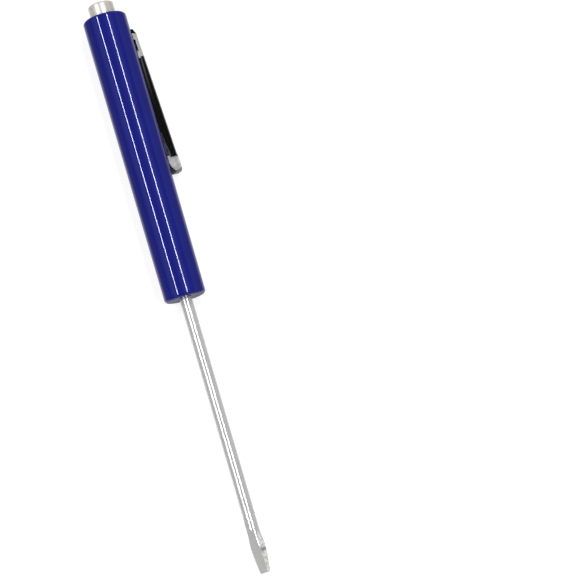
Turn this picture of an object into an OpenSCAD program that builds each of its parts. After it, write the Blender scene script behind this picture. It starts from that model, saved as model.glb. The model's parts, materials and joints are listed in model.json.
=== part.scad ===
// Pocket screwdriver with a round moulded handle, a fixed flat blade, a magnet in
// the head and a sheet-metal pocket clip. Millimetres.
// The axis of the tool is X. The origin is the middle of the blade's working edge,
// +X points out of the tip and +Z is up as the tool lies on a table, on its handle
// and the lower corner of its clip.

/* [Handle] */
// Length of the moulded handle
handle_len = 74.6; // [60:0.1:90]
// Diameter at the head, where the magnet sits
handle_top_d = 11.2; // [10.5:0.1:14]
// Diameter at the blade end; the mould's draft makes it the smaller one
handle_end_d = 10.56; // [10:0.02:13.5]
// Edge radius round the head
handle_top_round = 0.65; // [0.3:0.05:1.2]
// Edge radius round the blade end
handle_end_round = 0.85; // [0.3:0.05:1.2]

/* [Magnet] */
// Diameter of the magnet
magnet_d = 6.66; // [5:0.02:7]
// Whole length of the magnet
magnet_len = 12; // [8:0.5:16]
// How far the magnet stands out of the handle
magnet_proud = 3.7; // [2:0.1:5]
// Edge radius of the magnet
magnet_round = 0.65; // [0.2:0.05:1]

/* [Blade] */
// Diameter of the shank
shank_d = 3.2; // [2.8:0.1:4]
// Length of the blade outside the handle
shank_out = 70.3; // [50:0.1:90]
// Length of the shank inside the handle
shank_in = 28; // [24:1:40]
// Length of the wings that keep the shank from turning
wing_len = 12; // [8:1:16]
// Tip-to-tip span of the two wings
wing_span = 4.6; // [4.2:0.1:5]
// Thickness of a wing
wing_t = 0.9; // [0.6:0.1:1.2]
// Depth of the coined grooves that push the wings out
coin_depth = 0.42; // [0.2:0.02:0.5]
// How far a groove runs out of the handle
coin_show = 1.2; // [0.5:0.1:2]
// Turn of the grooves round the axis, from straight up towards the clip's side
coin_turn = 60; // [0:5:180]

/* [Tip] */
// Width of the working edge
tip_w = 2.95; // [2.4:0.05:3.2]
// Thickness of the working edge
tip_t = 0.88; // [0.5:0.02:1.2]
// Greatest width, where the pressed tip flares past the shank
tip_flare_w = 3.85; // [3.6:0.05:4.4]
// Distance of the greatest width from the end
tip_flare_at = 6; // [4:0.5:8]
// Distance from the end at which the flare begins
tip_neck_at = 10.4; // [9:0.2:13]
// Length of the hollow-ground faces
grind_len = 13.8; // [12:0.2:18]
// Radius of the grinding wheel that cut them
grind_r = 210; // [150:10:400]
// Turn of the ground faces round the axis, from straight up away from the clip
tip_turn = 55; // [0:5:90]

/* [Clip] */
// Width over the clip's sides
clip_w = 4.4; // [4:0.1:5]
// Thickness of the sheet
clip_t = 0.45; // [0.35:0.05:0.55]
// Overall length of the clip
clip_len = 38.5; // [34:0.1:44]
// Distance of the clip's root from the head of the handle
clip_from_top = 4.4; // [3:0.1:8]
// Axial length of the ramp that climbs out of the handle
clip_ramp = 1.3; // [1:0.1:2]
// Height above the handle at which the sheet bends over from the tang to the ramp
clip_root_lift = 0.45; // [0.2:0.05:0.7]
// Height of the clip's back above the handle, just past the ramp
clip_rise_root = 1.14; // [0.8:0.02:1.4]
// Height of the clip's back above the handle, at the free end
clip_rise_end = 2.9; // [2.6:0.05:3.4]
// Outer bend radius between back and sides
clip_bend = 0.5; // [0.45:0.05:0.8]
// Gap between the clip's edges and the handle
clip_gap = 0.12; // [0.08:0.02:0.3]
// Turn of the clip below the horizontal as the tool lies
clip_turn = 25.2; // [0:0.2:45]

/* [Clip saddle] */
// Length of the saddle between the ramp and the sides of the arm
saddle_len = 6.7; // [5.8:0.1:7.5]
// Flat width on top of the saddle
saddle_top_w = 3.3; // [2.8:0.1:3.6]
// Width over the feet of the saddle
saddle_foot_w = 4.6; // [4.2:0.1:5]
// Length of the window between the feet
window_len = 3.1; // [2:0.1:3.5]
// Height of the window above the handle's side
window_h = 0.5; // [0.3:0.02:0.6]
// Length of the foot between the window and the arm
foot_len = 1.9; // [1:0.1:2.4]
// Width of the tang that is pressed into the handle
tang_w = 2.6; // [2:0.1:3]
// Depth of the tang in the handle
tang_depth = 1.7; // [1.2:0.1:1.8]
// Clearance round the tang in its slot
tang_gap = 0.2; // [0.15:0.01:0.3]

/* [Clip arm and toe] */
// Distance from the root at which the sides leave the handle
side_free_at = 27.6; // [24:0.1:30]
// How far the edges of the sides jump up where they leave the handle
side_lift = 0.25; // [0.1:0.05:0.4]
// Depth of the sides where they reach the toe
side_end_d = 1.9; // [1.6:0.05:2.4]
// Length of the pressed toe at the free end
toe_len = 4.4; // [4:0.1:5]
// Width of the toe at the clip's back
toe_w = 4.2; // [4:0.1:4.4]
// Width of the toe's floor
toe_floor_w = 2.8; // [2:0.1:3.4]
// Length over which the toe's belly curves up to its end
toe_belly = 2.8; // [2:0.1:3.4]
// Height of the toe's end above its floor
toe_end_h = 1.5; // [1:0.1:2]
// Radius of the toe's corners, seen from the back
toe_corner = 1.3; // [1:0.1:2.1]

/* [Hidden] */

// Radial clearance of the pieces that are moulded or glued in
fit = 0.02;
// Overrun of every cut
over = 1;
$fn = 96;

handle_end_x = -shank_out;
handle_top_x = -(shank_out + handle_len);
magnet_top_x = handle_top_x - magnet_proud;
shank_r = shank_d / 2;

// Radius of the drafted handle at x
function handle_r(x) =
    (handle_end_d + (handle_top_d - handle_end_d) * (handle_end_x - x) / handle_len) / 2;

// Clip stations along the axis, from root to free end
clip_x0 = handle_top_x + clip_from_top;
clip_x1 = clip_x0 + clip_ramp;
clip_x2 = clip_x1 + saddle_len;
clip_free_x = clip_x0 + side_free_at;
clip_end_x = clip_x0 + clip_len;
toe_x = clip_end_x - toe_len;
// Height of the clip's back over the axis at both ends of its straight run
clip_z1 = handle_r(clip_x1) + clip_rise_root;
clip_z_end = handle_r(clip_end_x) + clip_rise_end;
clip_lift_z = handle_r(clip_x0) + clip_root_lift;
ramp_slope = (clip_z1 - clip_lift_z) / clip_ramp;
arm_angle = atan2(clip_z_end - clip_z1, clip_end_x - clip_x1);
function back_z(x) = clip_z1 + (x - clip_x1) * tan(arm_angle);
// Height at which a side of the clip meets the handle's round
function edge_z(x) = sqrt(pow(handle_r(x) + clip_gap, 2) - pow(clip_w / 2, 2));
toe_floor_z = handle_r(toe_x) + clip_gap;
belly_r = (pow(toe_belly, 2) + pow(toe_end_h, 2)) / (2 * toe_end_h);

// Points of the blade tip, by distance from the end
tip_steps = 8;
function flare_half(a) =
    (tip_flare_w - (tip_flare_w - tip_w) * pow((tip_flare_at - a) / tip_flare_at, 2)) / 2;
// Smooth step from 0 to 1
function ease(u) = u * u * (3 - 2 * u);
function neck_mix(from, to, u) = from + (to - from) * ease(u);
// Half thickness of the tip at its greatest width, and the corner radius there
grind_chord = norm([grind_len, shank_r - tip_t / 2]);
grind_rise = sqrt(pow(grind_r, 2) - pow(grind_chord / 2, 2));
grind_centre_a = grind_len / 2 - grind_rise * (shank_r - tip_t / 2) / grind_chord;
grind_centre_h = (shank_r + tip_t / 2) / 2 + grind_rise * grind_len / grind_chord;
flare_half_t = grind_centre_h - sqrt(pow(grind_r, 2) - pow(tip_flare_at - grind_centre_a, 2));
flare_corner_r = norm([tip_flare_w / 2, flare_half_t]);
// The groove is the bite of a wheel, as long as the wings and the stretch that shows
coin_len = 2 * coin_show + 2 * wing_len;
coin_r = (pow(coin_len / 2, 2) + pow(coin_depth, 2)) / (2 * coin_depth);
wing_x = handle_end_x - coin_show - wing_len;

// Turns a shape that stands along Z so that it lies along X, with the seam of its
// round on top
module lay() {
    rotate([180, 0, 0])
        rotate([0, 90, 0])
            children();
}

// Extrudes a section, drawn as [across, up], along X
module along_x(length) {
    rotate([90, 0, 90])
        linear_extrude(length)
            children();
}

// Extrudes a side view, drawn as [x, z], evenly to both sides
module across(width) {
    rotate([90, 0, 0])
        linear_extrude(width, center = true)
            children();
}

// Half profile of a round bar from z0 to z1 with rounded ends, for rotate_extrude
module bar_profile(z0, r0, round0, z1, r1, round1) {
    polygon([
        [0, z0],
        [r0 - round0, z0],
        [r0, z0 + round0],
        [r1, z1 - round1],
        [r1 - round1, z1],
        [0, z1]
    ]);
    translate([r0 - round0, z0 + round0])
        circle(round0);
    translate([r1 - round1, z1 - round1])
        circle(round1);
}

// Outside of the handle, grown all round by the clearance given
module handle_body(grow = 0) {
    lay()
        rotate_extrude()
            bar_profile(handle_top_x - grow, handle_top_d / 2 + grow, handle_top_round,
                handle_end_x + grow, handle_end_d / 2 + grow, handle_end_round);
}

// Two wings, pressed out of the shank, with the clearance given
module wings(grow = 0) {
    rotate([-coin_turn, 0, 0])
        translate([wing_x - wing_len / 2 - grow, -wing_span / 2 - grow, -wing_t / 2 - grow])
            cube([wing_len + 2 * grow, wing_span + 2 * grow, wing_t + 2 * grow]);
}

// The two grooves, each the bite of a wheel with a V edge
module coin_grooves() {
    for (side = [0, 180])
        rotate([side - coin_turn, 0, 0])
            translate([wing_x, 0, shank_r - coin_depth + coin_r])
                rotate([90, 0, 0])
                    rotate_extrude()
                        polygon([
                            [coin_r, 0],
                            [coin_r - shank_r, shank_r],
                            [coin_r - shank_r, -shank_r]
                        ]);
}

// Handle: a drafted round bar with rounded ends, bored for the magnet and the
// shank, and slotted for the clip's tang
module handle() {
    color([0.11, 0.12, 0.48])
        difference() {
            handle_body();
            translate([handle_top_x - over, 0, 0])
                lay()
                    cylinder(h = magnet_len - magnet_proud + fit + over, r = magnet_d / 2 + fit);
            translate([handle_end_x - shank_in - fit, 0, 0])
                lay()
                    cylinder(h = shank_in + fit + over, r = shank_r + fit);
            wings(fit);
            clip_place()
                translate([clip_x0 - tang_gap, -tang_w / 2 - tang_gap, 0])
                    translate([0, 0, handle_r(clip_x0) - tang_depth - tang_gap])
                        cube([clip_t + 2 * tang_gap, tang_w + 2 * tang_gap, tang_depth + over]);
        }
}

// Outline of the tip in the plane of its ground faces: parallel shank, flare,
// greatest width, and the taper to the working edge
module tip_outline() {
    half = concat(
        [for (i = [0:tip_steps]) let (a = tip_flare_at * i / tip_steps) [-a, flare_half(a)]],
        [for (i = [1:tip_steps]) let (u = i / tip_steps)
            [-(tip_flare_at + (tip_neck_at - tip_flare_at) * u),
                neck_mix(tip_flare_w / 2, shank_r, u)]],
        [[-(grind_len + over), shank_r]]
    );
    polygon(concat(half, [for (i = [len(half) - 1:-1:0]) [half[i][0], -half[i][1]]]));
}

// Round blank of the tip, thickened where the flare needs its corners
module tip_blank() {
    lay()
        rotate_extrude()
            polygon(concat(
                [[0, 0], [flare_corner_r, 0]],
                [for (i = [0:tip_steps]) let (u = i / tip_steps)
                    [neck_mix(flare_corner_r, shank_r, u),
                        -(tip_flare_at + (tip_neck_at - tip_flare_at) * u)]],
                [[shank_r, -(grind_len + over)], [0, -(grind_len + over)]]
            ));
}

// Blade: round shank, coined wings inside the handle, flared and ground flat tip
module blade() {
    color([0.78, 0.78, 0.79])
        union() {
            difference() {
                union() {
                    translate([handle_end_x - shank_in, 0, 0])
                        lay()
                            cylinder(h = shank_in + shank_out - grind_len, r = shank_r);
                    wings();
                }
                coin_grooves();
            }
            rotate([tip_turn, 0, 0])
                difference() {
                    intersection() {
                        tip_blank();
                        rotate([-90, 0, 0])
                            across(tip_flare_w + 2 * over)
                                tip_outline();
                    }
                    for (side = [0, 1])
                        mirror([0, 0, side])
                            translate([-grind_centre_a, 0, grind_centre_h])
                                rotate([90, 0, 0])
                                    cylinder(h = tip_flare_w + 2 * over, r = grind_r, center = true, $fn = 720);
                }
        }
}

// Magnet: a plated round bar with rounded edges, glued into the head
module magnet() {
    color([0.83, 0.80, 0.74])
        lay()
            rotate_extrude()
                bar_profile(magnet_top_x, magnet_d / 2, magnet_round,
                    magnet_top_x + magnet_len, magnet_d / 2, magnet_round);
}

// Stands the clip on its side of the handle; in the clip's own frame up is outward
module clip_place() {
    rotate([-(90 + clip_turn), 0, 0])
        children();
}

// Frame of the straight back: X along it from the ramp, Z = 0 on its outer face
module back_frame() {
    translate([clip_x1, 0, clip_z1])
        rotate([0, -arm_angle, 0])
            children();
}

// Section of the arm: a channel with rounded outer bends, open to the handle
module arm_section() {
    deep = clip_z_end;
    difference() {
        union() {
            for (side = [-1, 1])
                translate([side * (clip_w / 2 - clip_bend), -clip_bend])
                    circle(clip_bend);
            translate([-clip_w / 2 + clip_bend, -clip_bend])
                square([clip_w - 2 * clip_bend, clip_bend]);
            translate([-clip_w / 2, -deep])
                square([clip_w, deep - clip_bend]);
        }
        translate([-clip_w / 2 + clip_t, -deep - over])
            square([clip_w - 2 * clip_t, deep + over - clip_t]);
    }
}

// Section of the saddle: a flat top whose sides lean out to their feet
module saddle_section(inset = 0) {
    deep = clip_z1;
    lean = (saddle_foot_w - saddle_top_w) / 2;
    fall = clip_z1 - edge_z(clip_x1);
    top = saddle_top_w / 2 - inset;
    foot = top + lean * (deep - inset) / fall;
    polygon([[-foot, -deep - inset], [-top, -inset], [top, -inset], [foot, -deep - inset]]);
}

// The ramp: a flat strip that rises out of the handle, bends over and climbs to the
// saddle
module ramp() {
    drop = clip_t * sqrt(1 + pow(ramp_slope, 2));
    across(saddle_top_w)
        polygon([
            [clip_x0, handle_r(clip_x0) - clip_t],
            [clip_x0, clip_lift_z],
            [clip_x1, clip_z1],
            [clip_x1 + clip_t, clip_z1 - clip_t / 2],
            [clip_x1, clip_z1 - drop],
            [clip_x0 + clip_t, clip_lift_z + clip_t * ramp_slope - drop],
            [clip_x0 + clip_t, handle_r(clip_x0) - clip_t]
        ]);
}

// The saddle: a top and two leaning sides, with a window between the feet
module saddle() {
    low = edge_z(clip_x1) - clip_t;
    difference() {
        intersection() {
            back_frame()
                translate([-over, 0, 0])
                    along_x(saddle_len + 2 * over)
                        saddle_section();
            translate([clip_x1, -saddle_foot_w / 2 - over, low])
                cube([saddle_len, saddle_foot_w + 2 * over, clip_z_end - low]);
        }
        back_frame()
            translate([-2 * over, 0, 0])
                along_x(saddle_len + 4 * over)
                    saddle_section(clip_t);
        translate([clip_x2 - foot_len - window_len, -saddle_foot_w / 2 - over, 0])
            cube([window_len, saddle_foot_w + 2 * over, edge_z(clip_x2) + window_h]);
    }
}

// Side view of the arm: its sides hug the handle, then rise to the toe
module arm_side() {
    start = clip_x2 - clip_t;
    polygon([
        [start, back_z(start) + over],
        [toe_x + clip_t, back_z(toe_x + clip_t) + over],
        [toe_x + clip_t, back_z(toe_x) - side_end_d],
        [toe_x, back_z(toe_x) - side_end_d],
        [clip_free_x + clip_t, edge_z(clip_free_x) + side_lift],
        [clip_free_x, edge_z(clip_free_x)],
        [clip_free_x, edge_z(clip_free_x) - clip_t],
        [start, edge_z(clip_x2) - clip_t]
    ]);
}

// The arm: a channel cut to its side view
module arm() {
    intersection() {
        back_frame()
            translate([-over, 0, 0])
                along_x(clip_len + 2 * over)
                    arm_section();
        across(clip_w + 2 * over)
            arm_side();
    }
}

// Rectangle round the line from x0 to x1, with its two corners at x1 rounded
module far_rounded(x0, x1, half_w, r) {
    translate([x0, -half_w])
        square([x1 - r - x0, 2 * half_w]);
    translate([x0, r - half_w])
        square([x1 - x0, 2 * (half_w - r)]);
    for (side = [-1, 1])
        translate([x1 - r, side * (half_w - r)])
            circle(r);
}

// What the toe's belly leaves off below, for a round of radius r
module belly_waste(r) {
    start = clip_end_x - toe_belly;
    difference() {
        translate([start, toe_floor_z - over])
            square([toe_belly + over, belly_r + over]);
        translate([start, toe_floor_z + belly_r])
            circle(r);
    }
}

// Side view of the toe, drawn in by the inset and open at the back
module toe_side(inset) {
    x0 = toe_x + inset;
    x1 = clip_end_x - inset;
    floor_z = toe_floor_z + inset;
    difference() {
        polygon([
            [x0, back_z(x0) + inset],
            [x1, back_z(x1) + inset],
            [x1, floor_z],
            [x0, floor_z]
        ]);
        belly_waste(belly_r - inset);
    }
}

// Section of the toe, whose sides draw in towards the floor
module toe_section(inset) {
    top_z = clip_z_end + over;
    half_top = toe_w / 2 - inset;
    half_floor = toe_floor_w / 2 - inset;
    polygon([
        [-half_top, top_z],
        [half_top, top_z],
        [half_top, clip_z_end],
        [half_floor, toe_floor_z],
        [-half_floor, toe_floor_z],
        [-half_top, clip_z_end]
    ]);
}

// The toe as a block: where its side view, its section and its plan meet
module toe_block(inset) {
    intersection() {
        across(toe_w)
            toe_side(inset);
        translate([toe_x, 0, 0])
            along_x(toe_len)
                toe_section(inset);
        linear_extrude(clip_z_end + over)
            far_rounded(toe_x + inset, clip_end_x - inset, toe_w / 2 - inset, toe_corner - inset);
    }
}

// The toe: a hollow nose, pressed down from the back until it rides on the handle
module toe() {
    difference() {
        toe_block(0);
        toe_block(clip_t);
    }
}

// Pocket clip: one piece of sheet, with its tang in the handle's slot
module pocket_clip() {
    color([0.80, 0.80, 0.81])
        clip_place() {
            difference() {
                union() {
                    ramp();
                    saddle();
                    arm();
                    toe();
                }
                handle_body(clip_gap);
            }
            translate([clip_x0, -tang_w / 2, handle_r(clip_x0) - tang_depth])
                cube([clip_t, tang_w, tang_depth + clip_root_lift / 2]);
        }
}

handle();
blade();
magnet();
pocket_clip();
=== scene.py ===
import json
import math

import bmesh
import bpy
from bpy.props import FloatProperty, FloatVectorProperty, PointerProperty
from mathutils import Matrix, Vector


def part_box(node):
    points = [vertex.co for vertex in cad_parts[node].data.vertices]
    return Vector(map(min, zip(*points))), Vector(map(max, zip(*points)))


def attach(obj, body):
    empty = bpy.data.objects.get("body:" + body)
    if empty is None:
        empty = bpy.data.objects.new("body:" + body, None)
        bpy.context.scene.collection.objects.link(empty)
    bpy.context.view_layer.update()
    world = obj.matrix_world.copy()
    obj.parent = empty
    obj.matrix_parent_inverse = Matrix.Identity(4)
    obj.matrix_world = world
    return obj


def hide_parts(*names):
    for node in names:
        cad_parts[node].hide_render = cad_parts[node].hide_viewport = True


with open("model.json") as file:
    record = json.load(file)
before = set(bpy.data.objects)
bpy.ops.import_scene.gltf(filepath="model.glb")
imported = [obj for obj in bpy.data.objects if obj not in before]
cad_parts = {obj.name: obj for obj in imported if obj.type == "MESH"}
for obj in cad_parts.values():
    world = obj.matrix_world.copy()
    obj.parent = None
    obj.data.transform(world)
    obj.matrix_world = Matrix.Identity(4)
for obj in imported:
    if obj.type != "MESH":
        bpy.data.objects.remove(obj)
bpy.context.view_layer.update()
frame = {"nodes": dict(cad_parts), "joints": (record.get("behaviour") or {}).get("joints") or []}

bl_info = {
    "name": "Pocket Screwdriver",
    "version": (1, 0, 0),
    "blender": (4, 5, 0),
    "location": "View3D > Sidebar > Screwdriver",
    "description": "Builds a pocket screwdriver with a magnet and a clip around its frame",
    "category": "Add Mesh",
}

MM = 0.001
WHITE = (1.0, 1.0, 1.0)

# Fixed places, read from the frame
HANDLE_LOW, HANDLE_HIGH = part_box("handle")
MAGNET_LOW, MAGNET_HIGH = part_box("magnet")
BLADE_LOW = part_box("blade")[0]
HEAD_X, SHOULDER_X = HANDLE_LOW.x, HANDLE_HIGH.x
# The frame's round pieces are finely faceted, so the smallest half extent is taken
HEAD_R = min(-HANDLE_LOW.y, -HANDLE_LOW.z)
MAGNET_R = min(-MAGNET_LOW.y, -MAGNET_LOW.z)
# The clip's hinge, on the handle's surface, the way across the clip and the way out of the handle
CLIP_HINGE = next(j for j in frame["joints"] if j["name"] == "clip_flex")
CLIP_ROOT = Vector(CLIP_HINGE["pos_m"])
CLIP_ACROSS = Vector(CLIP_HINGE["axis"])
CLIP_OUT = CLIP_ACROSS.cross(Vector((1.0, 0.0, 0.0)))
CLIP_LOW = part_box("pocket_clip")[0]
CLIP_TURN = Matrix(((1.0, 0.0, 0.0), -CLIP_ACROSS, CLIP_OUT)).transposed().to_4x4()
SHEET = 0.45 * MM
# Room round a pressed-in piece
FIT = 0.02 * MM
# Points nearer than this are one point
WELD = 0.0005 * MM
# Faces round each piece
HANDLE_STEPS, MAGNET_STEPS = 160, 128
# Edges sharper than these many degrees are drawn sharp
ROUND_SHARP, BLADE_SHARP, CLIP_SHARP = 40.0, 22.0, 35.0


def length(name, description, default, high=1.0):
    """A length in metres for a property group."""
    return FloatProperty(name=name, description=description, default=default, min=0.0, max=high,
                         unit="LENGTH", subtype="DISTANCE", precision=5)


def angle(name, description, default):
    """An angle for a property group, given here in degrees."""
    return FloatProperty(name=name, description=description, default=math.radians(default),
                         unit="ROTATION", subtype="ANGLE")


def share(name, description, default):
    """A plain share for a property group."""
    return FloatProperty(name=name, description=description, default=default, min=0.0, max=1.0,
                         subtype="FACTOR")


def colour(name, description, default):
    """A linear colour for a property group."""
    return FloatVectorProperty(name=name, description=description, default=default, size=3,
                               min=0.0, max=1.0, subtype="COLOR")


class HandleSettings(bpy.types.PropertyGroup):
    shoulder_r: length("Blade end radius", "Radius at the end round the blade", 5.28 * MM)
    head_round: length("Head rounding", "Radius of the head's edge", 0.85 * MM)
    shoulder_round: length("Shoulder rounding", "Radius of the blade end's edge", 0.85 * MM)
    pocket_round: length("Pocket rounding", "Radius of the magnet pocket's edge", 0.12 * MM)
    bore_round: length("Bore rounding", "Radius of the blade bore's edge", 0.10 * MM)
    plastic: colour("Plastic", "Colour of the moulded plastic", (0.0100, 0.0136, 0.170))
    gloss: share("Roughness", "Roughness of the moulded skin", 0.045)
    slot_len: length("Slot length", "Length of the slot for the clip's tang", 0.85 * MM)
    slot_w: length("Slot width", "Width of that slot", 3.0 * MM)
    slot_deep: length("Slot depth", "Depth of that slot", 1.9 * MM)


class BladeSettings(bpy.types.PropertyGroup):
    shank_r: length("Shank radius", "Radius of the round shank", 1.6 * MM)
    tip_w: length("Edge width", "Width of the working edge", 2.95 * MM)
    tip_t: length("Edge thickness", "Thickness of the working edge", 0.88 * MM)
    flare_w: length("Flare width", "Greatest width of the pressed tip", 3.85 * MM)
    flare_at: length("Flare place", "Distance of the greatest width from the end", 6 * MM)
    neck_at: length("Neck place", "Distance from the end at which the flare begins", 10.4 * MM)
    grind_len: length("Grind length", "Length of the hollow-ground faces", 13.8 * MM)
    grind_r: length("Wheel radius", "Radius of the wheel that ground them", 210 * MM)
    tip_turn: angle("Tip turn", "Turn of the ground faces round the axis", 55)
    groove_turn: angle("Groove turn", "Turn of the coined grooves round the axis", 60)
    groove_depth: length("Groove depth", "Depth of the coined grooves", 0.42 * MM)
    groove_show: length("Groove end", "How far a groove runs out of the handle", 1.2 * MM)
    wing_len: length("Wing length", "Length of the wings inside the handle", 12 * MM)
    steel: colour("Plate", "Colour of the plated steel", (0.80, 0.80, 0.79))


class MagnetSettings(bpy.types.PropertyGroup):
    edge_round: length("Edge rounding", "Radius of the magnet's edges", 0.65 * MM)
    nickel: colour("Nickel", "Colour of the nickel plate", (0.80, 0.765, 0.695))


class ClipSettings(bpy.types.PropertyGroup):
    edge_break: length("Edge break", "Width of the tumbled edges of the sheet", 0.05 * MM)
    toe_round: length("Toe rounding", "Rounding of the pressed toe", 0.3 * MM)
    inner_w: length("Inner width", "Width of the channel inside the sheet", 3.5 * MM)
    saddle_at: length("Saddle place", "Distance from the root at which the saddle begins", 1.3 * MM)
    arm_at: length("Arm place", "Distance from the root at which the arm begins", 8.0 * MM)
    free_at: length("Free place", "Distance from the root at which the sides rise off", 27.6 * MM)
    toe_at: length("Toe place", "Distance from the root at which the toe begins", 34.1 * MM)
    # Near black: painted shade on the cut edges, the ramp's underside and the insides of saddle and
    # toe
    painted_shade_black: colour("Bare steel", "Colour of the cut edges", (0.02, 0.02, 0.022))
    nickel: colour("Nickel", "Colour of the plated sheet", (0.74, 0.74, 0.75))


class StageSettings(bpy.types.PropertyGroup):
    floor_side: length("Floor side", "Length of a side of the floor", 3.0, high=10.0)
    floor_gap: length("Floor gap", "Room between the floor and the tool", 0.01 * MM)
    floor_tone: share("Floor tone", "Paleness of the floor", 0.8)
    tube_far: length("Tube distance", "Distance of the tube lights from the tool", 1.0, high=4.0)
    left_turn: angle("Left tube", "Turn of the left tube light from straight up", -35.2)
    right_turn: angle("Right tube", "Turn of the right tube light from straight up", 17.9)
    tube_wide: length("Tube width", "Width of a tube light", 0.052)
    tube_level: FloatProperty(name="Tube level", description="Radiance of a tube, where 1 is white",
                              default=34.0, min=0.0, max=100.0)


# Shader maths

class Value:
    """An output socket. Python's operators add Math nodes that work on it."""

    def __init__(self, board, socket):
        self.board = board
        self.socket = socket

    def math(self, operation, *terms):
        return self.board.add("ShaderNodeMath", {"operation": operation}, *terms)

    def __add__(self, other):
        return self.math("ADD", self, other)

    __radd__ = __add__

    def __rsub__(self, other):
        return self.math("SUBTRACT", other, self)

    def __mul__(self, other):
        return self.math("MULTIPLY", self, other)

    def __truediv__(self, other):
        return self.math("DIVIDE", self, other)

    def absolute(self):
        return self.math("ABSOLUTE", self)

    def step(self, low, high):
        """A smooth step from 0 at low to 1 at high."""
        return self.board.add("ShaderNodeMapRange", {"interpolation_type": "SMOOTHSTEP"},
                              self, low, high, 0.0, 1.0)


class Board:
    """A node tree to which nodes are added by type, settings and inputs."""

    def __init__(self, tree):
        self.tree = tree
        tree.nodes.clear()

    def add(self, kind, settings=None, *terms, out=None, **named):
        node = self.tree.nodes.new(kind)
        for name, setting in (settings or {}).items():
            if name == "stops":
                self.set_stops(node.color_ramp, setting)
            else:
                setattr(node, name, setting)
        sockets = [s for s in node.inputs if s.enabled]
        for socket, term in zip(sockets, terms):
            self.feed(socket, term)
        for name, term in named.items():
            wanted = name.replace("_", " ").lower()
            self.feed(next(s for s in sockets if s.name.lower() == wanted), term)
        outputs = [s for s in node.outputs if s.enabled]
        if not outputs:
            return node
        if out is None:
            return Value(self, outputs[0])
        return Value(self, next(s for s in outputs if s.name == out))

    def feed(self, socket, term):
        """Links an output to a socket, or sets the socket's own value."""
        if isinstance(term, Value):
            self.tree.links.new(term.socket, socket)
        elif isinstance(socket.default_value, float) or not hasattr(term, "__len__"):
            socket.default_value = term
        else:
            wanted = len(socket.default_value)
            socket.default_value = (tuple(term) + (1.0,))[:wanted]

    def set_stops(self, ramp, stops):
        """Gives a ramp its stops, each a place from 0 to 1 and a grey level."""
        while len(ramp.elements) < len(stops):
            ramp.elements.new(1.0)
        for element, (place, level) in zip(ramp.elements, stops):
            element.position = place
            element.color = (level, level, level, 1.0)

    def place(self, scale=(1.0, 1.0, 1.0)):
        """The piece's own coordinates in millimetres, then scaled."""
        place = self.add("ShaderNodeTexCoord", out="Object")
        return self.add("ShaderNodeMapping", {}, vector=place, scale=tuple(s / MM for s in scale))

    def noise(self, place, scale, detail=2.0, rough=0.5):
        """A cloudy pattern from 0 to 1."""
        return self.add("ShaderNodeTexNoise", {}, vector=place, scale=scale, detail=detail,
                        roughness=rough, out="Fac")

    def blend(self, share_of_b, a, b):
        """A mix of two colours."""
        return self.add("ShaderNodeMix", {"data_type": "RGBA"}, factor=share_of_b, a=a, b=b,
                        out="Result")

    def bump(self, height, strength, depth_mm):
        """A normal that makes a pattern look raised."""
        return self.add("ShaderNodeBump", {}, strength=strength, distance=depth_mm * MM,
                        height=height)


def new_material(name):
    """A material and the board of its nodes."""
    material = bpy.data.materials.new(name)
    material.use_nodes = True
    return material, Board(material.node_tree)


def finish_material(board, **inputs):
    """Ends a material in one shader with the given inputs."""
    shader = board.add("ShaderNodeBsdfPrincipled", {}, **inputs)
    board.add("ShaderNodeOutputMaterial", {}, surface=shader)


def dimmed(tone, share_left):
    """A colour at a share of its level, which can be over 1."""
    return tuple(c * share_left for c in tone)


def handle_plastic(tone, rough):
    """Dark blue moulded plastic with a high gloss, slightly wavy and lightly handled."""
    material, board = new_material("handle_plastic")
    place = board.place()
    clouds = board.noise(place, 0.16, 3.0)
    base = board.blend(clouds, dimmed(tone, 0.90), dimmed(tone, 1.10))
    rubbed = board.noise(board.place((0.05, 0.6, 0.6)), 1.0, 4.0, 0.6)
    scuffs = board.noise(board.place((2.5, 9.0, 9.0)), 1.0, 3.0, 0.6).step(0.66, 0.74)
    roughness = rough + rubbed * 0.03 + scuffs * 0.05
    waves = board.noise(board.place((0.10, 0.05, 0.05)), 1.0, 1.0)
    peel = board.noise(place, 2.2, 2.0)
    skin = board.bump(waves, 1.0, 0.015)
    normal = board.add("ShaderNodeBump", {}, strength=1.0, distance=0.0002 * MM, height=peel,
                       normal=skin)
    finish_material(board, base_color=base, roughness=roughness, normal=normal, ior=1.6,
                    specular_tint=(0.74, 0.74, 1.0))
    return material


def cut_plastic(tone):
    """The handle's flat end round the blade: the same plastic, cut and less glossy, with its colour
    darkened as painted shade.
    """
    material, board = new_material("cut_plastic")
    grain = board.noise(board.place(), 3.0, 4.0, 0.6)
    # Painted shade: the end's colour is dimmed to between half and all of the plastic's
    base = board.blend(grain, dimmed(tone, 0.5), dimmed(tone, 1.0))
    roughness = 0.28 + grain * 0.12
    normal = board.bump(grain, 0.4, 0.006)
    finish_material(board, base_color=base, roughness=roughness, normal=normal, ior=1.3)
    return material


def drawn_steel(tone):
    """Bright plate on a drawn bar: fine lines along it, soft highlights."""
    material, board = new_material("drawn_steel")
    lines = board.noise(board.place((0.02, 14.0, 14.0)), 1.0, 3.0, 0.6)
    patches = board.noise(board.place((0.12, 0.5, 0.5)), 1.0, 3.0)
    base = board.blend(patches, dimmed(tone, 0.94), dimmed(tone, 1.05))
    roughness = 0.08 + lines * 0.05 + patches * 0.04
    normal = board.bump(lines, 0.4, 0.0004)
    finish_material(board, base_color=base, metallic=0.47, roughness=roughness, normal=normal,
                    ior=2.2)
    return material


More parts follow.
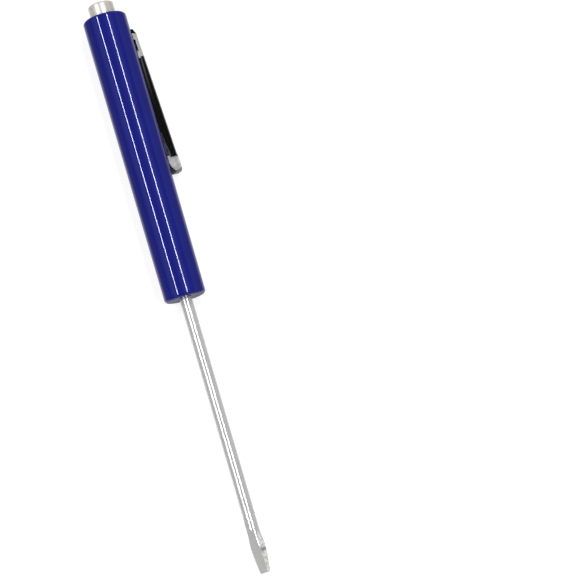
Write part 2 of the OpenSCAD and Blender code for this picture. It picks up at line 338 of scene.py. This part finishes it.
def ground_steel(tone):
    """The ground faces of the tip: a matt grey with lengthwise wheel marks."""
    material, board = new_material("ground_steel")
    marks = board.noise(board.place((0.35, 9.0, 9.0)), 1.0, 5.0, 0.65)
    coarse = board.noise(board.place((1.2, 1.2, 1.2)), 1.0, 3.0)
    flecks = board.noise(board.place((1.5, 5.0, 5.0)), 1.0, 4.0, 0.7)
    base = board.blend(coarse * 0.4 + flecks * 0.6, dimmed(tone, 0.56), dimmed(tone, 0.90))
    roughness = 0.42 + marks * 0.16
    normal = board.bump(marks, 0.8, 0.004)
    finish_material(board, base_color=base, metallic=0.3, roughness=roughness, normal=normal,
                    ior=2.2)
    return material


# Millimetres from the tip's end to the painted dark reflection on its sides
DARK_REFLECTION_AT = 5.7


def pressed_steel(tone):
    """The narrow sides of the tip: pressed, uneven, with a painted dark reflection at the widest
    place.
    """
    material, board = new_material("pressed_steel")
    place = board.place()
    dents = board.noise(board.place((1.0, 1.3, 1.3)), 1.0, 3.0, 0.6)
    grain = board.noise(board.place((6.0, 6.0, 6.0)), 1.0, 3.0)
    marks = board.noise(place, 1.7, 2.0, 0.6).step(0.50, 0.62) * 0.55
    along = board.add("ShaderNodeSeparateXYZ", {}, place, out="X")
    # Painted dark reflection: a band round that place is darkened towards a fifth of the steel's
    # tone
    painted_dark_reflection = 1.0 - (along + DARK_REFLECTION_AT).absolute().step(0.15, 0.75)
    base = board.blend(dents, dimmed(tone, 0.95), dimmed(tone, 1.2))
    base = board.blend(marks, base, dimmed(tone, 0.3))
    base = board.blend(painted_dark_reflection * 0.75, base, dimmed(tone, 0.2))
    roughness = 0.30 + grain * 0.16
    normal = board.bump(dents, 1.0, 0.06)
    finish_material(board, base_color=base, metallic=0.25, roughness=roughness, normal=normal,
                    ior=2.2)
    return material


def warm_nickel(tone):
    """Nickel plate on a sintered magnet: warm, softly bright, faintly pitted."""
    material, board = new_material("warm_nickel")
    patches = board.noise(board.place(), 0.7, 3.0)
    pits = board.noise(board.place(), 5.0, 3.0, 0.6)
    base = board.blend(patches, dimmed(tone, 0.93), dimmed(tone, 1.05))
    roughness = 0.27 + patches * 0.06 + pits.step(0.6, 0.75) * 0.10
    normal = board.bump(pits, 0.6, 0.003)
    finish_material(board, base_color=base, metallic=0.45, roughness=roughness, normal=normal,
                    ior=2.0)
    return material


def satin_nickel(name, tone, plain, uneven=0.07):
    """Satin nickel, where the clip was pressed. The share plain of it isn't metallic."""
    material, board = new_material(name)
    grain = board.noise(board.place((1.0, 3.0, 3.0)), 1.5, 3.0, 0.6)
    bands = board.noise(board.place((0.6, 0.9, 0.9)), 1.0, 1.0).step(0.35, 0.65)
    base = board.blend(bands * 0.7 + grain * 0.3,
                       dimmed(tone, 1.0 - uneven), dimmed(tone, 1.0 + uneven))
    roughness = 0.34 + grain * 0.12
    normal = board.bump(grain, 0.5, 0.002)
    finish_material(board, base_color=base, metallic=1.0 - plain, roughness=roughness,
                    normal=normal, ior=1.8)
    return material


def cut_steel(name, tone):
    """The sheet's cut edges and the inside of its saddle and toe: dull, and near black as painted
    shade.
    """
    material, board = new_material(name)
    grain = board.noise(board.place((2.0, 6.0, 6.0)), 1.5, 3.0, 0.6)
    base = board.blend(grain, dimmed(tone, 0.6), dimmed(tone, 1.4))
    roughness = 0.5 + grain * 0.2
    normal = board.bump(grain, 0.5, 0.004)
    finish_material(board, base_color=base, metallic=1.0, roughness=roughness, normal=normal)
    return material


def bright_nickel(tone):
    """Bright nickel on spring sheet: a near mirror with faint drawing lines."""
    material, board = new_material("bright_nickel")
    lines = board.noise(board.place((0.08, 6.0, 6.0)), 1.0, 3.0, 0.6)
    patches = board.noise(board.place(), 0.5, 3.0)
    base = board.blend(patches, dimmed(tone, 0.94), dimmed(tone, 1.05))
    roughness = 0.04 + lines * 0.04 + patches * 0.02
    normal = board.bump(lines, 0.5, 0.001)
    finish_material(board, base_color=base, metallic=1.0, roughness=roughness, normal=normal)
    return material


# Mesh work

def mesh_of(name, bm):
    """Turns a bmesh into a mesh and ends it."""
    mesh = bpy.data.meshes.new(name)
    bm.to_mesh(mesh)
    bm.free()
    return mesh


def placed(name, data):
    """A new object in the scene."""
    thing = bpy.data.objects.new(name, data)
    bpy.context.scene.collection.objects.link(thing)
    return thing


def shown(name, bm, body, node, materials, sharp_deg):
    """Makes a finished piece of a bmesh: smooth, on its body, in its node's place."""
    bmesh.ops.remove_doubles(bm, verts=bm.verts, dist=WELD)
    bmesh.ops.recalc_face_normals(bm, faces=bm.faces)
    for face in bm.faces:
        face.smooth = True
    mesh = mesh_of(name, bm)
    mesh.set_sharp_from_angle(angle=math.radians(sharp_deg))
    piece = placed(name, mesh)
    for material in materials:
        mesh.materials.append(material)
    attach(piece, body)
    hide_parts(node)
    return piece


def spun(bm, outline, steps):
    """Turns an outline of (x, radius) points into a closed round about the X axis."""
    points = [bm.verts.new((x, 0.0, r)) for x, r in outline]
    edges = [bm.edges.new(pair) for pair in zip(points, points[1:])]
    bmesh.ops.spin(bm, geom=points + edges, cent=(0, 0, 0), axis=(1, 0, 0), dvec=(0, 0, 0),
                   angle=math.tau, steps=steps, use_merge=True, use_duplicate=False)
    bmesh.ops.remove_doubles(bm, verts=bm.verts, dist=WELD)
    bmesh.ops.recalc_face_normals(bm, faces=bm.faces)


def ring_edges(bm, x, r):
    """The edges of the circle of radius r at x."""
    near = 4 * WELD

    def on(v):
        return abs(v.co.x - x) < near and abs(math.hypot(v.co.y, v.co.z) - r) < near
    return [e for e in bm.edges if on(e.verts[0]) and on(e.verts[1])]


def rounded(bm, edges, radius, segments):
    """Rounds edges to a radius."""
    bmesh.ops.bevel(bm, geom=edges, offset=radius, offset_type="OFFSET", affect="EDGES",
                    segments=segments, profile=0.5, material=-1, clamp_overlap=True)


def build_handle(settings):
    """The moulded handle: a drafted bar with rounded ends and its three holes."""
    blade = bpy.context.scene.blade_settings
    bore_r, pocket_r = blade.shank_r + FIT, MAGNET_R + FIT
    bm = bmesh.new()
    spun(bm, [
        (BLADE_LOW.x - FIT, 0.0),
        (BLADE_LOW.x - FIT, bore_r),
        (SHOULDER_X, bore_r),
        (SHOULDER_X, settings.shoulder_r),
        (HEAD_X, HEAD_R),
        (HEAD_X, pocket_r),
        (MAGNET_HIGH.x + FIT, pocket_r),
        (MAGNET_HIGH.x + FIT, 0.0),
    ], HANDLE_STEPS)
    rounded(bm, ring_edges(bm, HEAD_X, HEAD_R), settings.head_round, 8)
    rounded(bm, ring_edges(bm, SHOULDER_X, settings.shoulder_r), settings.shoulder_round, 10)
    rounded(bm, ring_edges(bm, HEAD_X, pocket_r), settings.pocket_round, 3)
    rounded(bm, ring_edges(bm, SHOULDER_X, bore_r), settings.bore_round, 3)
    flat_x = SHOULDER_X - settings.shoulder_round
    for face in bm.faces:
        on_end = face.normal.x > 0.9 and face.calc_center_median().x > flat_x
        face.material_index = 1 if on_end else 0
    plastics = [handle_plastic(settings.plastic, settings.gloss), cut_plastic(settings.plastic)]
    piece = shown("screwdriver_handle", bm, "tool", "handle", plastics,
                  ROUND_SHARP)
    slot(piece, settings)
    return settle_normals(piece)


def slot(piece, settings):
    """Cuts the slot that takes the clip's tang."""
    long, wide, deep = settings.slot_len, settings.slot_w, settings.slot_deep
    bm = bmesh.new()
    box = Matrix.Diagonal((long, wide, 2 * deep, 1.0))
    middle = Matrix.Translation(CLIP_ROOT + Vector((SHEET / 2, 0.0, 0.0)))
    bmesh.ops.create_cube(bm, size=1.0, matrix=middle @ CLIP_TURN @ box)
    cut_away(piece, bm, ROUND_SHARP)


def cut_away(piece, bm, sharp_deg):
    """Takes the solid in a bmesh out of a piece."""
    mesh = mesh_of("cutter", bm)
    cutter = placed("cutter", mesh)
    cut = piece.modifiers.new("cut", "BOOLEAN")
    cut.operation = "DIFFERENCE"
    cut.solver = "EXACT"
    cut.object = cutter
    apply_modifiers(piece)
    piece.data.set_sharp_from_angle(angle=math.radians(sharp_deg))
    bpy.data.objects.remove(cutter)
    bpy.data.meshes.remove(mesh)


def ease(u):
    """A smooth rise from 0 to 1."""
    return u * u * (3 - 2 * u)


def tip_section(s, a):
    """Half width, half thickness and blank radius of the tip at distance a from its end."""
    flare_h, wheel_a, wheel_h = wheel(s)
    thick = s.shank_r
    if a < s.grind_len:
        thick = wheel_h - math.sqrt(s.grind_r ** 2 - (a - wheel_a) ** 2)
    corner = math.hypot(s.flare_w / 2, flare_h)
    if a <= s.flare_at:
        wide = (s.flare_w - (s.flare_w - s.tip_w) * ((s.flare_at - a) / s.flare_at) ** 2) / 2
        return wide, thick, corner
    u = min(1.0, (a - s.flare_at) / (s.neck_at - s.flare_at))
    wide = s.flare_w / 2 + (s.shank_r - s.flare_w / 2) * ease(u)
    return wide, thick, corner + (s.shank_r - corner) * ease(u)


def wheel(s):
    """Half thickness at the flare, and the place of the wheel that ground the faces."""
    fall = s.shank_r - s.tip_t / 2
    chord = math.hypot(s.grind_len, fall)
    rise = math.sqrt(s.grind_r ** 2 - (chord / 2) ** 2)
    wheel_a = s.grind_len / 2 - rise * fall / chord
    wheel_h = (s.shank_r + s.tip_t / 2) / 2 + rise * s.grind_len / chord
    flare_h = wheel_h - math.sqrt(s.grind_r ** 2 - (s.flare_at - wheel_a) ** 2)
    return flare_h, wheel_a, wheel_h


# Points on each flat, arc and side of a section, and slices along the ground length
FLAT_STEPS, ARC_STEPS, SIDE_STEPS = 8, 20, 6
GRIND_STEPS = 46
# Materials of the blade
DRAWN, GROUND, SIDES = range(3)


def section_ring(wide, thick, blank):
    """Points round a section, (y, z): flats above and below, cheeks at the sides, arcs between."""
    top_y = min(wide, math.sqrt(max(blank ** 2 - thick ** 2, 0.0)))
    side_z = min(thick, math.sqrt(max(blank ** 2 - wide ** 2, 0.0)))
    low, high = math.atan2(side_z, wide), math.atan2(thick, top_y)
    reach = math.hypot(wide, side_z)
    quarter_arc = []
    for i in range(ARC_STEPS):
        turn = low + (high - low) * i / ARC_STEPS
        quarter_arc.append((reach * math.cos(turn), reach * math.sin(turn)))
    points = [(wide, -side_z + 2 * side_z * i / SIDE_STEPS) for i in range(SIDE_STEPS)]
    points += quarter_arc
    points += [(top_y - 2 * top_y * i / FLAT_STEPS, thick) for i in range(FLAT_STEPS)]
    points += [(-top_y, thick)] + [(-y, z) for y, z in reversed(quarter_arc[1:])]
    return points + [(-y, -z) for y, z in points]


def build_blade(s):
    """The blade: drawn shank, coined grooves, and the flared, hollow-ground tip."""
    # A thin first slice, the ground length, and three long slices of shank
    stations = [0.0, 0.05 * MM]
    stations += [s.grind_len * i / GRIND_STEPS for i in range(1, GRIND_STEPS + 1)]
    stations += [20 * MM, 60 * MM, -BLADE_LOW.x]
    bm = bmesh.new()
    count = len(section_ring(*tip_section(s, 0.0)))
    ring = bmesh.ops.create_circle(bm, segments=count, radius=s.shank_r, cap_ends=False)["verts"]
    edges = list(bm.edges)
    turn = Matrix.Rotation(s.tip_turn, 4, "X")

    def put(verts, a):
        for v, (y, z) in zip(verts, section_ring(*tip_section(s, a))):
            v.co = turn @ Vector((-a, y, z))
    put(ring, stations[0])
    bmesh.ops.contextual_create(bm, geom=edges)
    arc = [DRAWN] * ARC_STEPS
    kinds = ([SIDES] * SIDE_STEPS + arc + [GROUND] * FLAT_STEPS + arc) * 2
    for a in stations[1:]:
        made = bmesh.ops.extrude_edge_only(bm, edges=edges)["geom"]
        fresh = {v for v in made if isinstance(v, bmesh.types.BMVert)}
        faces = [f for f in made if isinstance(f, bmesh.types.BMFace)]
        new_ring = [next(e.other_vert(v) for e in v.link_edges if e.other_vert(v) in fresh)
                    for v in ring]
        if a <= s.grind_len:
            number = {v: i for i, v in enumerate(ring)}
            for face in faces:
                at = sorted(number[v] for v in face.verts if v in number)
                face.material_index = kinds[at[1] if at == [0, count - 1] else at[0]]
        edges = [e for e in made
                 if isinstance(e, bmesh.types.BMEdge) and all(v in fresh for v in e.verts)]
        put(new_ring, a)
        ring = new_ring
    bmesh.ops.contextual_create(bm, geom=edges)
    materials = [drawn_steel(s.steel), ground_steel(s.steel), pressed_steel(s.steel)]
    piece = shown("screwdriver_blade", bm, "tool", "blade", materials, BLADE_SHARP)
    coin(piece, s)
    return settle_normals(piece)


# How much of the coining wheel is made, in reaches of a groove, and in how many steps
COIN_SPAN, COIN_STEPS = 2.4, 60


def coin(piece, s):
    """Bites the two coined grooves out of the shank, each the path of a wheel with a V edge."""
    reach = s.groove_show + s.wing_len
    wheel_r = (reach ** 2 + s.groove_depth ** 2) / (2 * s.groove_depth)
    span = math.asin(min(1.0, COIN_SPAN * reach / wheel_r))
    centre = (SHOULDER_X + s.groove_show - reach, 0, s.shank_r - s.groove_depth + wheel_r)
    depth = s.shank_r
    bm = bmesh.new()
    for side in (0.0, math.pi):
        part = bmesh.new()
        points = [part.verts.new(p) for p in
                  ((0, 0, -wheel_r), (0, depth, -wheel_r + depth), (0, -depth, -wheel_r + depth))]
        lines = [part.edges.new(pair) for pair in zip(points, points[1:] + points[:1])]
        bmesh.ops.spin(part, geom=points + lines, cent=(0, 0, 0), axis=(0, 1, 0), dvec=(0, 0, 0),
                       angle=-span, steps=COIN_STEPS, use_merge=False, use_duplicate=False)
        rim = [e for e in part.edges if e.is_boundary]
        bmesh.ops.holes_fill(part, edges=rim, sides=0)
        bmesh.ops.rotate(part, verts=part.verts, cent=(0, 0, 0),
                         matrix=Matrix.Rotation(span / 2, 3, "Y"))
        bmesh.ops.translate(part, verts=part.verts, vec=centre)
        bmesh.ops.rotate(part, verts=part.verts, cent=(0, 0, 0),
                         matrix=Matrix.Rotation(side - s.groove_turn, 3, "X"))
        bmesh.ops.recalc_face_normals(part, faces=part.faces)
        mesh = mesh_of("groove", part)
        bm.from_mesh(mesh)
        bpy.data.meshes.remove(mesh)
    cut_away(piece, bm, BLADE_SHARP)


def settle_normals(piece):
    """Lets the large faces keep their own normals, so flats shade flat up to a rounded edge."""
    weighted = piece.modifiers.new("flats", "WEIGHTED_NORMAL")
    weighted.keep_sharp = True
    weighted.weight = 50
    apply_modifiers(piece)
    return piece


def apply_modifiers(piece):
    """Puts what the modifiers make into the piece's own mesh."""
    bpy.context.view_layer.update()
    shaped = piece.evaluated_get(bpy.context.evaluated_depsgraph_get())
    mesh = bpy.data.meshes.new_from_object(shaped)
    piece.modifiers.clear()
    old = piece.data
    piece.data = mesh
    bpy.data.meshes.remove(old)
    mesh.name = piece.name


def build_magnet(settings):
    """The magnet: a plated round bar with rounded edges."""
    bm = bmesh.new()
    spun(bm, [
        (MAGNET_LOW.x, 0.0),
        (MAGNET_LOW.x, MAGNET_R),
        (MAGNET_HIGH.x, MAGNET_R),
        (MAGNET_HIGH.x, 0.0),
    ], MAGNET_STEPS)
    for x in (MAGNET_LOW.x, MAGNET_HIGH.x):
        rounded(bm, ring_edges(bm, x, MAGNET_R), settings.edge_round, 8)
    return settle_normals(shown("head_magnet", bm, "tool", "magnet",
                                [warm_nickel(settings.nickel)], ROUND_SHARP))


# Finishes of the clip. The near-black ones and the darkened toe nickel are painted shade; the
# lightened nickel inside the arm is painted light
MIRROR, SATIN, PAINTED_LIGHT_INSIDE, PRESSED_PAINTED_SHADE, PAINTED_SHADE, PAINTED_SHADE_HOLLOW = range(6)
# How much of a face's normal points one way
MOSTLY, HALF, PARTLY = 0.6, 0.5, 0.3
# Degrees at an edge: none to speak of, on the rounded toe, and on the tumbled sheet
LEVEL_EDGE, TOE_EDGE, SHEET_EDGE = 0.4, 25, 35


def finish_of(face, settings):
    """The finish of a face of the clip, by its place along the clip and the way it looks."""
    middle = face.calc_center_median()
    across, sideways = middle.dot(CLIP_ACROSS), face.normal.dot(CLIP_ACROSS)
    outward = face.normal.dot(CLIP_OUT)
    low = outward < -MOSTLY
    if abs(sideways) > MOSTLY:
        inside = across * sideways < 0
    else:
        inside = low and abs(across) < settings.inner_w / 2
    run = middle.x - CLIP_LOW.x
    if run < settings.saddle_at:
        # The ramp's underside is near black, as painted shade
        return PAINTED_SHADE if outward < -PARTLY else MIRROR
    if run < settings.arm_at:
        outside = outward > HALF or (abs(sideways) > HALF and not inside)
        # The saddle's inside is near black, as painted shade
        return SATIN if outside else PAINTED_SHADE
    if run < settings.toe_at:
        # The arm's inside is a lightened nickel, as painted light; its lower edges up to free_at
        # are near black, as painted shade
        if inside:
            return PAINTED_LIGHT_INSIDE
        return (PAINTED_SHADE if run < settings.free_at else SATIN) if low else MIRROR
    # The toe's outside is a darkened nickel and its inside near black, both as painted shade
    return PAINTED_SHADE_HOLLOW if inside else PRESSED_PAINTED_SHADE


def edges_over(bm, degrees):
    """The edges whose two faces meet at more than an angle."""
    turn = math.radians(degrees)
    return [e for e in bm.edges if e.is_manifold and e.calc_face_angle(0.0) > turn]


def build_clip(settings):
    """The clip: the frame's own sheet with its edges tumbled and its toe rounded."""
    bm = bmesh.new()
    bm.from_mesh(frame["nodes"]["pocket_clip"].data)
    bmesh.ops.remove_doubles(bm, verts=bm.verts, dist=2 * WELD)
    bmesh.ops.dissolve_limit(bm, angle_limit=math.radians(LEVEL_EDGE), verts=bm.verts,
                             edges=bm.edges)
    for face in bm.faces:
        face.material_index = finish_of(face, settings)
    toe = [e for e in edges_over(bm, TOE_EDGE)
           if all(f.material_index == PRESSED_PAINTED_SHADE for f in e.link_faces)]
    rounded(bm, toe, settings.toe_round, 4)
    bm.normal_update()
    rounded(bm, edges_over(bm, SHEET_EDGE), settings.edge_break, 2)
    finishes = [
        bright_nickel(settings.nickel),
        satin_nickel("satin_nickel", settings.nickel, 0.5),
        # Painted light: the inside of the arm is the nickel lightened by a quarter
        satin_nickel("shaded_nickel", dimmed(settings.nickel, 1.25), 0.7),
        # Painted shade: the toe is the nickel darkened to about a third
        satin_nickel("pressed_nickel", dimmed(settings.nickel, 0.34), 0.85, 0.35),
        # Painted shade: near black on the cut edges, ramp and saddle, a little less dark inside the
        # toe
        cut_steel("cut_steel", settings.painted_shade_black),
        cut_steel("hollow_steel", dimmed(settings.painted_shade_black, 4.0)),
    ]
    return settle_normals(shown("pocket_clip_sheet", bm, "clip", "pocket_clip",
                                finishes, CLIP_SHARP))


# The stage

CAMERA_PLACE = Vector((2.6592, -8.1767, 500.0)) * MM
CAMERA_TARGET = Vector((-65.6626, 25.1056, 0.0)) * MM
IMAGE_RIGHT = Vector((0.2753, 0.9614, 0.0))
CAMERA_ROLL = 0.0051
FOCAL_SHARE = 2034.92 / 576
SENSOR_MM = 36.0


def place_camera():
    """The main view: nearly straight down, with the tool's tip nearest."""
    data = bpy.data.cameras.new("camera")
    data.sensor_width = SENSOR_MM
    data.lens = SENSOR_MM * FOCAL_SHARE
    data.clip_start = 0.01
    data.clip_end = 20.0
    camera = placed("camera", data)
    ahead = (CAMERA_TARGET - CAMERA_PLACE).normalized()
    right = (IMAGE_RIGHT - ahead * IMAGE_RIGHT.dot(ahead)).normalized()
    down = ahead.cross(right)
    c, s = math.cos(CAMERA_ROLL), math.sin(CAMERA_ROLL)
    right, down = right * c + down * s, down * c - right * s
    turn = Matrix((right, -down, -ahead)).transposed().to_4x4()
    camera.matrix_world = Matrix.Translation(CAMERA_PLACE) @ turn
    bpy.context.scene.camera = camera


# Where the tube lights begin and end along X, in metres
TUBE_LOW, TUBE_HIGH = -0.75, 0.35


def tube_light(name, turn, settings):
    """A long narrow soft box beside the tool's axis, at a turn from straight up."""
    data = bpy.data.lights.new(name, "AREA")
    data.shape = "RECTANGLE"
    data.size, data.size_y = TUBE_HIGH - TUBE_LOW, settings.tube_wide
    data.energy = settings.tube_level * math.pi * data.size * data.size_y
    light = placed(name, data)
    outward = Vector((0.0, math.sin(turn), math.cos(turn)))
    along = Vector((1.0, 0.0, 0.0))
    middle = outward * settings.tube_far + along * (TUBE_LOW + TUBE_HIGH) / 2
    light.matrix_world = (Matrix.Translation(middle)
                          @ Matrix((along, outward.cross(along), outward)).transposed().to_4x4())
    light.visible_camera = False


def by_ray(board, soft, mirrored, seen):
    """One shader for soft light, one for what gloss mirrors and one for what the camera sees."""
    straight = board.add("ShaderNodeLightPath", out="Is Camera Ray")
    glossy = board.add("ShaderNodeLightPath", out="Is Glossy Ray")
    through = board.add("ShaderNodeLightPath", out="Is Transmission Ray")
    unseen = board.add("ShaderNodeMixShader", {}, glossy, soft, mirrored)
    return board.add("ShaderNodeMixShader", {}, straight.math("MAXIMUM", straight, through),
                     unseen, seen)


# What gloss mirrors of the room: (turn round the tool's axis from straight up, in degrees, level)
MIRRORED = (
    (-180, 0.3), (-110, 0.2), (-96, 0.01), (-80, 0.03), (-67, 0.19), (-60, 0.28), (-52, 0.38),
    (-45, 0.28), (-41, 0.01), (-8, 0.01), (4, 0.14), (22, 0.40), (30, 0.25), (40, 0.15),
    (45, 0.006), (57, 0.006), (62, 0.20), (78, 0.17), (92, 0.15), (110, 0.2), (180, 0.3),
)
# The soft light that falls on matt surfaces, in the same way
SOFT = ((-180, 0.1), (-60, 0.1), (30, 0.45), (60, 0.65), (180, 0.65))


def by_turn(board, way, levels):
    """The level of the room in the direction that is looked at."""
    across = board.add("ShaderNodeSeparateXYZ", {}, way, out="Y")
    upward = board.add("ShaderNodeSeparateXYZ", {}, way, out="Z")
    at = across.math("ARCTAN2", across, upward) / math.tau + 0.5
    stops = [(turn / 360 + 0.5, level) for turn, level in levels]
    return board.add("ShaderNodeValToRGB", {"stops": stops}, at, out="Color")


def light_room():
    """Soft light from the room, and a plain white background."""
    world = bpy.data.worlds.new("room")
    bpy.context.scene.world = world
    world.use_nodes = True
    board = Board(world.node_tree)
    way = board.add("ShaderNodeTexCoord", out="Generated")
    soft = board.add("ShaderNodeBackground", {}, by_turn(board, way, SOFT), 1.0)
    mirrored = board.add("ShaderNodeBackground", {}, by_turn(board, way, MIRRORED), 1.0)
    white = board.add("ShaderNodeBackground", {}, WHITE, 1.0)
    board.add("ShaderNodeOutputWorld", {}, surface=by_ray(board, soft, mirrored, white))


# What gloss mirrors of the floor, a painted glow: its level beside the tool and how far that falls,
# between two distances from the tool's axis in millimetres
BESIDE, FALL, FALL_FROM, FALL_TO = 0.44, 0.38, 5.0, 21.0
# What the camera sees of it: a faint shadow on a glow that keeps the rest white
SHADOW, GLOW = 0.35, 0.75


def pale_floor(tone):
    """A plain pale floor, which looks white where nothing shades it."""
    material, board = new_material("pale_floor")
    speckle = board.noise(board.place(), 0.02, 2.0)
    matt = board.add("ShaderNodeBsdfDiffuse", {},
                     board.blend(speckle, dimmed(WHITE, tone), dimmed(WHITE, tone * 0.98)))
    away = board.add("ShaderNodeSeparateXYZ", {}, board.place(), out="Y").absolute()
    # Painted light: for gloss the floor glows brightest beside the tool and dimmer farther off
    half = BESIDE - away.step(FALL_FROM, FALL_TO) * FALL
    mirrored = board.add("ShaderNodeAddShader", {},
                         board.add("ShaderNodeBsdfDiffuse", {}, half),
                         board.add("ShaderNodeEmission", {}, WHITE, half))
    white = board.add("ShaderNodeAddShader", {},
                      board.add("ShaderNodeBsdfDiffuse", {}, dimmed(WHITE, SHADOW)),
                      board.add("ShaderNodeEmission", {}, WHITE, GLOW))
    board.add("ShaderNodeOutputMaterial", {}, surface=by_ray(board, matt, mirrored, white))
    return material


def build_stage(settings):
    """Camera, floor, two tube lights and the room."""
    bpy.context.scene.view_settings.view_transform = "Standard"
    place_camera()
    bm = bmesh.new()
    bmesh.ops.create_grid(bm, x_segments=1, y_segments=1, size=settings.floor_side / 2,
                          matrix=Matrix.Translation((0, 0, HANDLE_LOW.z - settings.floor_gap)))
    mesh = mesh_of("floor", bm)
    mesh.materials.append(pale_floor(settings.floor_tone))
    floor = placed("floor", mesh)
    for name, turn in (("left_tube", settings.left_turn), ("right_tube", settings.right_turn)):
        tube_light(name, turn, settings)
    light_room()


class PieceOperator:
    """What the build buttons share: each reads its group of settings and builds."""
    bl_options = {"REGISTER", "UNDO"}
    group = ""

    def execute(self, context):
        self.build(getattr(context.scene, self.group))
        return {"FINISHED"}


class ADD_OT_screwdriver_stage(PieceOperator, bpy.types.Operator):
    """Add the camera, the pale floor and the soft lights"""
    bl_idname = "screwdriver.add_stage"
    bl_label = "Stage"
    group = "stage_settings"
    build = staticmethod(build_stage)


class ADD_OT_screwdriver_handle(PieceOperator, bpy.types.Operator):
    """Add the moulded handle"""
    bl_idname = "screwdriver.add_handle"
    bl_label = "Handle"
    group = "handle_settings"
    build = staticmethod(build_handle)


class ADD_OT_screwdriver_blade(PieceOperator, bpy.types.Operator):
    """Add the shank with its grooves and ground tip"""
    bl_idname = "screwdriver.add_blade"
    bl_label = "Blade"
    group = "blade_settings"
    build = staticmethod(build_blade)


class ADD_OT_screwdriver_magnet(PieceOperator, bpy.types.Operator):
    """Add the magnet in the head"""
    bl_idname = "screwdriver.add_magnet"
    bl_label = "Magnet"
    group = "magnet_settings"
    build = staticmethod(build_magnet)


class ADD_OT_screwdriver_clip(PieceOperator, bpy.types.Operator):
    """Add the sheet-metal pocket clip"""
    bl_idname = "screwdriver.add_clip"
    bl_label = "Pocket Clip"
    group = "clip_settings"
    build = staticmethod(build_clip)


OPERATORS = (ADD_OT_screwdriver_stage, ADD_OT_screwdriver_handle, ADD_OT_screwdriver_blade,
             ADD_OT_screwdriver_magnet, ADD_OT_screwdriver_clip)
SETTINGS = {
    "stage_settings": StageSettings,
    "handle_settings": HandleSettings,
    "blade_settings": BladeSettings,
    "magnet_settings": MagnetSettings,
    "clip_settings": ClipSettings,
}


class VIEW3D_PT_screwdriver(bpy.types.Panel):
    """Lists the build buttons and their settings"""
    bl_idname = "VIEW3D_PT_screwdriver"
    bl_label = "Pocket Screwdriver"
    bl_space_type = "VIEW_3D"
    bl_region_type = "UI"
    bl_category = "Screwdriver"

    def draw(self, context):
        for operator in OPERATORS:
            group = getattr(context.scene, operator.group)
            box = self.layout.box()
            box.operator(operator.bl_idname)
            for name in group.__annotations__:
                box.prop(group, name)


def register():
    for group in SETTINGS.values():
        bpy.utils.register_class(group)
    for name, group in SETTINGS.items():
        setattr(bpy.types.Scene, name, PointerProperty(type=group))
    for operator in OPERATORS:
        bpy.utils.register_class(operator)
    bpy.utils.register_class(VIEW3D_PT_screwdriver)


def unregister():
    bpy.utils.unregister_class(VIEW3D_PT_screwdriver)
    for operator in reversed(OPERATORS):
        bpy.utils.unregister_class(operator)
    for name in SETTINGS:
        delattr(bpy.types.Scene, name)
    for group in reversed(list(SETTINGS.values())):
        bpy.utils.unregister_class(group)


def main():
    register()
    bpy.ops.screwdriver.add_stage()
    bpy.ops.screwdriver.add_handle()
    bpy.ops.screwdriver.add_blade()
    bpy.ops.screwdriver.add_magnet()
    bpy.ops.screwdriver.add_clip()


if __name__ == "__main__":
    main()
